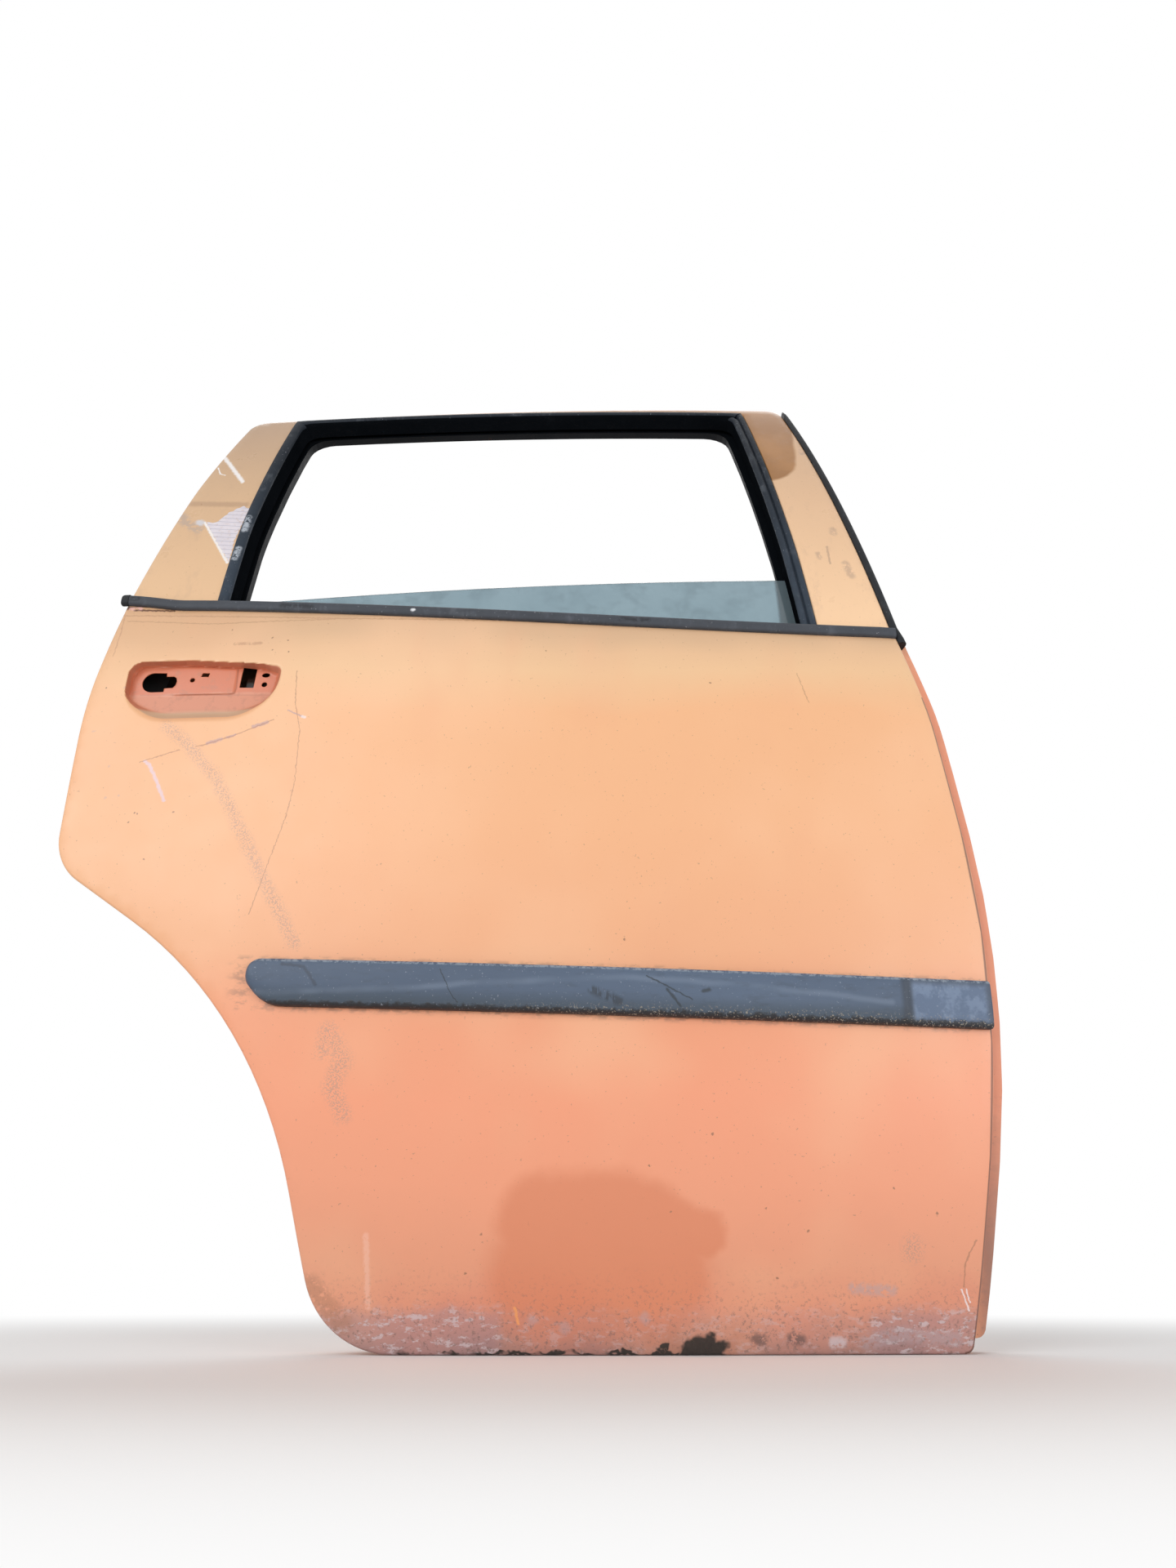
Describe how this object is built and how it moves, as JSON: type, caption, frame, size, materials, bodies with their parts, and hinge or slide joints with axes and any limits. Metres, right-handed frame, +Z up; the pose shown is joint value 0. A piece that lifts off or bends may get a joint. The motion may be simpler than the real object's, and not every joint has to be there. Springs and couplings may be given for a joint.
{
  "type": "vehicle rear door",
  "caption": "Stripped rear car door with faded orange skin, wheel-arch cut, window frame with lowered glass, rub strip and an empty handle recess.",
  "frame": {"origin": "between the two bolt holes of the upper hinge pad, on its face, in the front wall of the door", "axes": "+X to the front of the vehicle, -Y to the outside of the vehicle, +Z up; a right-hand rear door"},
  "size_m": [0.9299, 0.2494, 1.1496],
  "materials": {
    "door_paint": "faded orange paint",
    "inner_paint": "thin orange paint",
    "frame_paint": "glossy copper paint",
    "frame_black": "black paint",
    "brace_steel": "primer and paint",
    "plate_steel": "dip primer",
    "beam_steel": "dark dip primer",
    "latch_zinc": "zinc plated",
    "drive_steel": "dull",
    "tinted_glass": "tinted",
    "seal_rubber": "weathered",
    "moulding_rubber": "weathered",
    "black_rubber": "matt",
    "strip_plastic": "weathered",
    "carrier_plastic": "matt"
  },
  "bodies": {
    "root": {"outer_skin": "door_paint", "inner_panel": "inner_paint", "frame_outer": "frame_paint", "frame_inner": "frame_black", "belt_brace_outer": "brace_steel", "belt_brace_inner": "brace_steel", "upper_hinge_plate": "plate_steel", "lower_hinge_plate": "plate_steel", "latch_plate": "plate_steel", "door_latch": "latch_zinc", "side_beam": "beam_steel", "beam_bracket_front": "beam_steel", "beam_bracket_rear": "beam_steel", "window_glass": "tinted_glass", "glass_run_rear": "seal_rubber", "glass_run_top": "seal_rubber", "glass_run_front": "seal_rubber", "guide_channel_rear": "brace_steel", "guide_channel_front": "brace_steel", "belt_moulding": "moulding_rubber", "moulding_cap": "black_rubber", "inner_belt_seal": "black_rubber", "rub_strip": "strip_plastic", "front_pillar_seal": "black_rubber", "regulator_rail": "latch_zinc", "regulator_carrier": "carrier_plastic", "regulator_drive": "drive_steel", "plug_front": "black_rubber", "plug_rear": "black_rubber", "plug_low": "black_rubber"}
  },
  "joints": []
}
